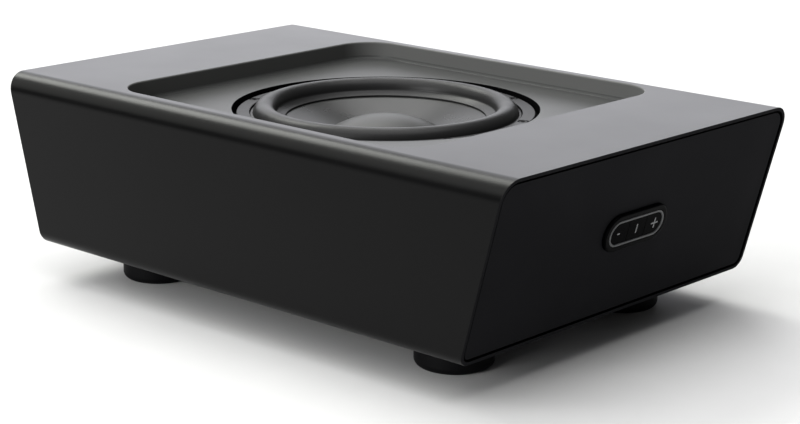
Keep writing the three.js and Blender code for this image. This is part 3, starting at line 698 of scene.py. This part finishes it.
tray = loft("tray", [level(tray_outline(SKIN), BAFFLE_Z), level(tray_outline(SKIN), SEAM_Z)])
pocket_profile = arc((-TRAY_FILLET, FLOOR_Z + TRAY_FILLET), TRAY_FILLET, -90, 0, 8)
pocket_profile.append((0, SEAM_Z + PAST))
pocket = loft("pocket", [level(tray_outline(outside), z) for outside, z in pocket_profile])
well = turned("well", [(WELL_RADIUS, WELL_Z), (WELL_RADIUS, SEAM_Z + PAST)], LARGE_SIDES)
throat = turned("throat", [(THROAT_RADIUS, BAFFLE_Z - PAST), (THROAT_RADIUS, SEAM_Z)], LARGE_SIDES)
carve(tray, pocket, well, throat)
dress(tray, "cabinet", "tray_satin_black", "baffle_tray")
# Painted shade: the tray's faces below its floor, in the throat and underneath, are painted near black.
refinish(tray, "painted_shade_black", lambda middle, normal: middle.z < FLOOR_Z - 0.2)
soften(tray, TRAY_EDGE)


def end_panel(name, side, node, *cutters):
    """An end panel, set in from the sleeve's end, with its sides painted near black as shade in the
    shadow gap.
    """
    outer = PANEL_INSET
    inner = PANEL_INSET + PANEL_THICKNESS
    panel = leaning_block(
        name, section(SKIN + PANEL_GAP),
        lambda z: side * (end_x(z) - inner), lambda z: side * (end_x(z) - outer))
    carve(panel, *cutters)
    dress(panel, "cabinet", "end_panel_matte", node)
    # Painted shade: the panel's sides get a near-black finish for the shadow in the gap round it.
    refinish(panel, "painted_shade_black", lambda middle, normal: abs(normal.x) < 0.5)
    soften(panel, EDGE)


end_panel("end_panel_left", -1, "left_end_panel")
neck_hole = ring_outline(NECK_WALL)
neck_cutter = loft("neck_hole", [
    on_end(neck_hole, -PANEL_INSET - PANEL_THICKNESS - PAST),
    on_end(neck_hole, PAST),
])
end_panel("end_panel_right", 1, "right_end_panel", neck_cutter)

# ---- feet --------------------------------------------------------------------------------

for place in PLACES:
    low, high = node_box("foot_" + place)
    middle = ((low[0] + high[0]) / 2, (low[1] + high[1]) / 2)
    radius = (high[1] - low[1]) / 2
    profile = [
        (FOOT_HOLE, FOOT_BORE_DEPTH),
        (FOOT_BORE, FOOT_BORE_DEPTH),
        (FOOT_BORE, BORE_CHAMFER),
        (FOOT_BORE + BORE_CHAMFER, 0),
    ]
    profile += arc((radius - FOOT_EDGE, FOOT_EDGE), FOOT_EDGE, -90, 0, 10)
    profile += [
        (radius, high[2] - FOOT_CHAMFER),
        (radius - FOOT_CHAMFER, high[2]),
        (FOOT_HOLE, high[2]),
    ]
    foot = turned(place + "_foot", profile, FOOT_SIDES, True, middle)
    soften(foot)
    dress(foot, "cabinet", "foot_rubber", "foot_" + place)

# ---- driver ------------------------------------------------------------------------------

basket = turned("basket", [
    (BASKET_RADIUS, RING_BOTTOM),
    (BASKET_RADIUS, RING_TOP - RING_EDGE),
    (BASKET_RADIUS - RING_EDGE_MIDDLE, RING_TOP - RING_EDGE_MIDDLE),
    (BASKET_RADIUS - RING_EDGE, RING_TOP),
    (RING_INNER + RING_INNER_EDGE, RING_TOP),
    (RING_INNER, RING_TOP - RING_INNER_EDGE),
    (RING_INNER, SEAT_Z),
    (SEAT_INNER, SEAT_Z),
    (SEAT_INNER, SEAT_Z - SEAT_THICKNESS),
    (SHELF_RADIUS, SHELF_Z),
    (HUB_INNER, SHELF_Z),
    (HUB_INNER, BASKET_BOTTOM + HUB_FLOOR),
    (HUB_HOLE, BASKET_BOTTOM + HUB_FLOOR),
    (HUB_HOLE, BASKET_BOTTOM),
    (HUB_RADIUS, BASKET_BOTTOM),
    (HUB_RADIUS, SHELF_Z - SHELF_THICKNESS),
    (SHELF_RADIUS + 3, SHELF_Z - SHELF_THICKNESS),
    (RING_INNER - 0.3, SEAT_Z - 5),
    (RING_INNER - 0.3, RING_BOTTOM),
], LARGE_SIDES, True)
for i in range(WINDOWS):
    middle = 360 / WINDOWS * (i + 0.5)
    start, end = middle - WINDOW_HALF_ANGLE, middle + WINDOW_HALF_ANGLE
    sector = arc((0, 0), WINDOW_OUTER, start, end, 10)
    sector += arc((0, 0), WINDOW_INNER, end, start, 10)
    carve(basket, loft("window", [level(sector, WINDOW_BOTTOM), level(sector, WINDOW_TOP)]))

screws = []
for number in range(1, DRIVER_SCREWS + 1):
    low, high = node_box(f"driver_screw_{number}")
    middle = ((low[0] + high[0]) / 2, (low[1] + high[1]) / 2)
    seat_profile = [
        (SEAT_HOLE, RING_BOTTOM - 1),
        (SEAT_HOLE, RING_TOP - SEAT_BORE_DEPTH),
        (SEAT_BORE, RING_TOP - SEAT_BORE_DEPTH),
        (SEAT_BORE, RING_TOP + 1),
    ]
    carve(basket, turned("seat", seat_profile, SEAT_SIDES, False, middle))
    screws.append((number, middle, low[2], high[2]))
dress(basket, "cabinet", "basket_steel", "driver_basket")
# Painted shade: the basket below its ring's top, in the groove round the roll and inside, is painted
# near black.
refinish(basket, "painted_shade_black", lambda middle, normal: middle.z < RING_TOP - 0.8)
soften(basket)


def cap_screw(name, middle, low, high, turn):
    """A round-headed screw with a hexagon socket, standing on its point."""
    hexagon = []
    for i in range(SCREW_SIDES):
        angle = 360 * i / SCREW_SIDES
        off_flat = math.radians((angle + turn) % 60 - 30)
        size = HEAD_RADIUS * 0.42 / math.cos(off_flat)
        hexagon.append((size * math.cos(math.radians(angle)), size * math.sin(math.radians(angle))))
    half = 0.5 * HEAD_HEIGHT
    profile = [
        (SHANK_RADIUS * 0.3, low),
        (SHANK_RADIUS, low + SCREW_POINT),
        (SHANK_RADIUS, high - HEAD_HEIGHT),
        (HEAD_RADIUS, high - HEAD_HEIGHT),
    ]
    profile += arc((HEAD_RADIUS - half, high - half), half, 0, 90, 5)
    loops = [level(circle(radius, SCREW_SIDES), z, middle) for radius, z in profile]
    loops.append(level(hexagon, high, middle))
    loops.append(level(hexagon, high - 0.75 * HEAD_HEIGHT, middle))
    return loft(name, loops)


for number, middle, low, high in screws:
    screw = cap_screw(f"basket_screw_{number}", middle, low, high, 17 * number)
    soften(screw)
    dress(screw, "cabinet", "black_screw", f"driver_screw_{number}")


def cone_z(radius):
    return CONE_RIM_Z - CONE_SLOPE * (ROLL_INNER - radius)


def wedges(name, profile, count, steps, slot, node):
    """A closed profile turned round the driver's axis as equal wedges, each a piece of its own."""
    for i in range(count):
        loops = []
        for j in range(steps + 1):
            angle = 2 * math.pi * (i + j / steps) / count
            loops.append([(r * math.cos(angle), r * math.sin(angle), z) for r, z in profile])
        wedge = loft(f"{name}_{i + 1:02d}", loops, caps=False)
        for polygon in wedge.data.polygons:
            polygon.use_smooth = True
        dress(wedge, None, slot, node)
        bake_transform(wedge)


roll_middle = ((ROLL_OUTER + ROLL_INNER) / 2, ROLL_BASE)
surround_profile = [
    (LIP_INNER, cone_z(LIP_INNER) + GLUE),
    (ROLL_INNER + 1, cone_z(ROLL_INNER + 1) + GLUE),
]
surround_profile += arc(roll_middle, ROLL_RADIUS - RUBBER, 172, 8, 18)
surround_profile += [
    (ROLL_OUTER - RUBBER, surround_low[2] + 0.6),
    (ROLL_OUTER - RUBBER + 0.3, SEAT_Z + GLUE),
    (FLANGE_RADIUS, SEAT_Z + GLUE),
    (FLANGE_RADIUS, SEAT_Z + RUBBER),
    (FLANGE_RADIUS - 0.3, SEAT_Z + RUBBER + GLUE),
    (ROLL_OUTER + 0.5, SEAT_Z + RUBBER + GLUE),
]
surround_profile += arc(roll_middle, ROLL_RADIUS, 3, 177, 28)
surround_profile += [
    (ROLL_INNER - 0.6, ROLL_BASE - 0.35),
    (LIP_INNER + 0.5, cone_z(LIP_INNER) + RUBBER + GLUE),
    (LIP_INNER, cone_z(LIP_INNER) + RUBBER),
]
wedges("roll", surround_profile, ROLL_WEDGES, 4, "surround_rubber", "surround")

cone_profile = []
for i in range(CONE_STEPS + 1):
    radius = ROLL_INNER + (NECK_RADIUS - ROLL_INNER) * i / CONE_STEPS
    cone_profile.append((radius, cone_z(radius)))
cone_profile += [(radius, z - CONE_SKIN) for radius, z in reversed(cone_profile)]
cone = turned("cone_dish", cone_profile, LARGE_SIDES, True)
soften(cone)
dress(cone, "driver_cone", "cone_polymer", "cone")

cap_centre = (0, CAP_APEX - CAP_SPHERE)
rim_angle = math.degrees(math.acos(CAP_RADIUS / CAP_SPHERE))
cap_profile = arc(cap_centre, CAP_SPHERE, 90, rim_angle + 0.8, 20)
cap_rim_z = cap_profile[-1][1]
cap_profile += [(CAP_RADIUS + 0.1, cap_rim_z - 0.75), (CAP_RADIUS - 0.5, cap_rim_z - 1.2)]
cap_profile += arc(cap_centre, CAP_SPHERE - CAP_SKIN, rim_angle + 0.4, 90, 14)
cap = turned("cap_dome", cap_profile, CAP_SIDES)
soften(cap)
dress(cap, "driver_cone", "cone_polymer", "dust_cap", look="cap_satin")

# ---- control pod -------------------------------------------------------------------------

neck_outline = ring_outline(BEZEL_WALL)
bezel_loops = [
    on_end(neck_outline, -BEZEL_DEPTH),
    on_end(neck_outline, 0.3 - PANEL_INSET),
    on_end(pod_outline(0), 0.05 - PANEL_INSET),
]
for outside, n in arc((-POD_EDGE, POD_PROUD - POD_EDGE), POD_EDGE, 0, 90, 8):
    bezel_loops.append(on_end(pod_outline(outside), n))
bezel_loops += [
    on_end(ring_outline(RING_FIT + 0.25), POD_PROUD),
    on_end(ring_outline(RING_FIT), POD_PROUD - 0.25),
    on_end(ring_outline(RING_FIT), -BEZEL_DEPTH),
]
bezel = loft("pod_bezel", bezel_loops, closed=True)
soften(bezel)
dress(bezel, "cabinet", "pod_gloss", "control_bezel")

ring_profile = [
    (0, -RING_DEPTH),
    (0, POD_PROUD - RING_CHAMFER / 2),
    (-RING_CHAMFER, POD_PROUD + RING_CHAMFER / 2),
    (RING_CHAMFER - RING_WALL, POD_PROUD + RING_CHAMFER / 2),
    (-RING_WALL, POD_PROUD - RING_CHAMFER / 2),
    (-RING_WALL, -RING_DEPTH),
]
ring_loops = [on_end(ring_outline(outside), n) for outside, n in ring_profile]
light_ring = loft("pod_ring", ring_loops, closed=True)
soften(light_ring)
dress(light_ring, "cabinet", "ring_grey", "light_ring")


def key(name, low, high, body, node):
    """The part of the pill between two U positions, with softly rounded edges."""
    outline = ring_outline(-RING_WALL - KEY_GAP)
    pill = loft(name, [on_end(outline, KEY_BOTTOM), on_end(outline, KEY_TOP)])
    part = [(low, -RING_HEIGHT), (high, -RING_HEIGHT), (high, RING_HEIGHT), (low, RING_HEIGHT)]
    cutter = loft("part", [on_end(part, KEY_BOTTOM - PAST), on_end(part, KEY_TOP + PAST)])
    combine(pill, cutter, "INTERSECT")
    soften(pill, KEY_EDGE)
    dress(pill, body, "key_black", node)


def mark(name, bars, body):
    """A raised mark of bars with round ends: (middle, length along U, length along V, width)."""
    parts = []
    for u, along_u, along_v, width in bars:
        if along_u > along_v:
            outline = [(u + x, y) for x, y in stadium(along_u, width, 8)]
        else:
            outline = [(u - y, x) for x, y in stadium(along_v, width, 8)]
        low, high = KEY_TOP - MARK_SINK, KEY_TOP + MARK_PROUD
        parts.append(loft("bar", [on_end(outline, low), on_end(outline, high)]))
    whole = parts[0]
    weld(whole, *parts[1:])
    whole.name = name
    soften(whole, MARK_EDGE, 1)
    dress(whole, body, "ring_grey", look="glyph_grey")


half_gap = KEY_GAP / 2
key("pill_minus", -RING_LENGTH, -KEY_SPLIT - half_gap, "minus_key", "key_minus")
key("pill_power", half_gap - KEY_SPLIT, KEY_SPLIT - half_gap, "power_key", "key_power")
key("pill_plus", KEY_SPLIT + half_gap, RING_LENGTH, "plus_key", "key_plus")
mark("mark_minus", [(-GLYPH_SPACING, MINUS_LENGTH, 0, MINUS_WIDTH)], "minus_key")
mark("mark_power", [(0, 0, BAR_LENGTH, MARK_WIDTH)], "power_key")
plus_bars = [(GLYPH_SPACING, PLUS_LENGTH, 0, MARK_WIDTH), (GLYPH_SPACING, 0, PLUS_LENGTH, MARK_WIDTH)]
mark("mark_plus", plus_bars, "plus_key")

# ---- rear plate --------------------------------------------------------------------------

plate_outline = rounded_rectangle(PLATE_WIDTH, PLATE_HEIGHT, PLATE_CORNER, 6)
plate = back_block("mains_plate", plate_outline, PLATE_BACK, PLATE_FACE)
inlet_hole = rounded_rectangle(
    INLET_LENGTH + 2 * INLET_GAP, INLET_HEIGHT + 2 * INLET_GAP, INLET_CORNER + INLET_GAP, 8)
carve(plate, back_block("inlet_hole", inlet_hole, PLATE_BACK - PAST, PLATE_FACE + PAST))


def back_turned(name, profile, count, centre):
    """A profile of (radius, y) turned round an axis that runs from front to back."""
    return loft(name, [on_back(circle(radius, count), y, centre) for radius, y in profile])


for number in range(1, PLATE_SCREWS + 1):
    low, high = node_box(f"rear_plate_screw_{number}")
    middle = ((low[0] + high[0]) / 2, (low[2] + high[2]) / 2)
    carve(plate, back_turned("hole", [
        (PLATE_HOLE, PLATE_BACK - PAST),
        (PLATE_HOLE, PLATE_FACE - PLATE_BORE_DEPTH),
        (PLATE_BORE, PLATE_FACE - PLATE_BORE_DEPTH),
        (PLATE_BORE, PLATE_FACE + PAST),
    ], SMALL_SIDES, middle))
    screw = back_turned(f"plate_screw_{number}", [
        (PLATE_SHANK, low[1]),
        (PLATE_SHANK, high[1] - PLATE_HEAD_HEIGHT),
        (PLATE_HEAD, high[1] - PLATE_HEAD_HEIGHT),
        (PLATE_HEAD, high[1] - PLATE_HEAD_EDGE),
        (PLATE_HEAD - PLATE_HEAD_EDGE, high[1]),
    ], SMALL_SIDES, middle)
    for size in (PLATE_SLOT, PLATE_SLOT[::-1]):
        slot = rounded_rectangle(*size, 0.1, 2)
        bottom, top = high[1] - PLATE_SLOT_DEPTH, high[1] + PAST
        carve(screw, loft("slot", [on_back(slot, bottom, middle), on_back(slot, top, middle)]))
    soften(screw)
    dress(screw, "cabinet", "black_screw", f"rear_plate_screw_{number}")
soften(plate, EDGE)
dress(plate, "cabinet", "rear_plate_black", "rear_plate")

inlet_outline = rounded_rectangle(INLET_LENGTH, INLET_HEIGHT, INLET_CORNER, 10)
inlet = back_block("figure_8_inlet", inlet_outline, inlet_low[1], inlet_high[1])
socket_outline = stadium(SOCKET_LENGTH, SOCKET_HEIGHT, 20)
carve(inlet, back_block("socket", socket_outline, SOCKET_FLOOR, inlet_high[1] + PAST))
soften(inlet, INLET_EDGE, 3)
dress(inlet, "cabinet", "inlet_black", "mains_inlet")
pins = []
for side in (-1, 1):
    middle = (PLATE_MIDDLE[0] + PIN_OFFSET * side, PLATE_MIDDLE[1])
    pins.append(back_turned("pin", [
        (PIN_RADIUS, SOCKET_FLOOR - 1),
        (PIN_RADIUS, SOCKET_FLOOR + PIN_LENGTH - PIN_TAPER),
        (PIN_TIP, SOCKET_FLOOR + PIN_LENGTH),
    ], PIN_SIDES, middle))
pins = gather("inlet_pins", pins)
soften(pins)
dress(pins, "cabinet", "zinc_steel")

# ---- spider, and the inner pieces that keep their CAD shapes -------------------------------

waves_start = SPIDER_INNER + SPIDER_FLAT
wave_middle = spider_low[2] + 1.7
lower = [(SPIDER_INNER, spider_low[2] + 1.5)]
for i in range(SPIDER_STEPS + 1):
    turn = 2 * math.pi * SPIDER_WAVES * i / SPIDER_STEPS
    radius = waves_start + SPIDER_SPAN * i / SPIDER_STEPS
    lower.append((radius, wave_middle + SPIDER_WAVE_HEIGHT * math.sin(turn)))
lower += [(SPIDER_RIM, spider_low[2]), (spider_high[0], spider_low[2])]
spider_profile = lower + [(radius, z + SPIDER_SHEET) for radius, z in reversed(lower)]
wedges("spider", spider_profile, SPIDER_WEDGES, 6, "spider_cloth", "spider")

for entry in record["subparts"]:
    node = frame["nodes"][entry["node"]]
    if not node.hide_render:
        node.data.materials.clear()
        node.data.materials.append(finishes[entry["material_slot"]])

# ---- studio: floor, lights and camera, in metres -------------------------------------------

FLOOR_HALF = 6
FLOOR_STEPS = 12
FLOOR_TONE = 0.48
SKY_STRENGTH = 0.12
LENS = 93.7
CAMERA_PLACE = (1.0003, -1.0772, 0.4513)
CAMERA_AIM = (-0.65234, 0.71270, -0.25789)
CAMERA_ROLL = 0.365

bm = bmesh.new()
marks = [2 * FLOOR_HALF * i / FLOOR_STEPS - FLOOR_HALF for i in range(FLOOR_STEPS + 1)]
rows = [[bm.verts.new((x, y, 0)) for x in marks] for y in marks]
for near, far in zip(rows, rows[1:]):
    for i in range(FLOOR_STEPS):
        bm.faces.new((near[i], near[i + 1], far[i + 1], far[i]))
floor = new_object("floor", bm)
finish("floor_pale", [0.97 * FLOOR_TONE] * 3, [FLOOR_TONE] * 3, (0.9, 0.95), 300, 0.00002)
floor.data.materials.append(finishes["floor_pale"])
floor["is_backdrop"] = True


def soft_light(name, azimuth, elevation, half_angle, radiance, colour=(1, 1, 1)):
    """A far, wide and even disc of light. Azimuth turns from +Y towards +X, in degrees."""
    light = bpy.data.lights.new(name, "SUN")
    light.angle = math.radians(2 * half_angle)
    light.energy = radiance * math.pi * math.sin(math.radians(half_angle)) ** 2
    light.color = colour
    lamp = bpy.data.objects.new(name, light)
    turn, rise = math.radians(azimuth), math.radians(elevation)
    towards = Vector((math.sin(turn) * math.cos(rise), math.cos(turn) * math.cos(rise), math.sin(rise)))
    lamp.rotation_mode = "QUATERNION"
    lamp.rotation_quaternion = towards.to_track_quat("Z", "Y")
    bpy.context.scene.collection.objects.link(lamp)


COOL = (0.975, 0.98, 1.03)
WARM = (1.0, 1.01, 0.96)
# The lights from the left and the back show as reflections in the top and the front fillet;
# the others light the floor, the tray and the walls that face the camera.

soft_light("back_left", 311, 12, 22, 2.2, COOL)
soft_light("upper_left", 315, 48, 11, 6)
soft_light("key", 281, 45, 13, 12, WARM)
soft_light("front_left", 240, 34, 20, 1.6, WARM)
soft_light("front", 195, 45, 25, 3.2)
soft_light("low_front", 182, 16, 13, 13)
soft_light("above", 0, 90, 28, 4.2)

world = bpy.data.worlds.new("studio")
world.use_nodes = True
background = world.node_tree.nodes["Background"]
background.inputs["Color"].default_value = (1, 1, 1, 1)
background.inputs["Strength"].default_value = SKY_STRENGTH
bpy.context.scene.world = world
bpy.context.scene.view_settings.view_transform = "Standard"

camera_data = bpy.data.cameras.new("camera")
camera_data.sensor_width = 36
camera_data.lens = LENS
camera = bpy.data.objects.new("camera", camera_data)
bpy.context.scene.collection.objects.link(camera)
camera.location = CAMERA_PLACE
camera.rotation_mode = "QUATERNION"
roll = Quaternion((0, 0, 1), math.radians(CAMERA_ROLL))
camera.rotation_quaternion = Vector(CAMERA_AIM).to_track_quat("-Z", "Y") @ roll
bpy.context.scene.camera = camera

low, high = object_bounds()
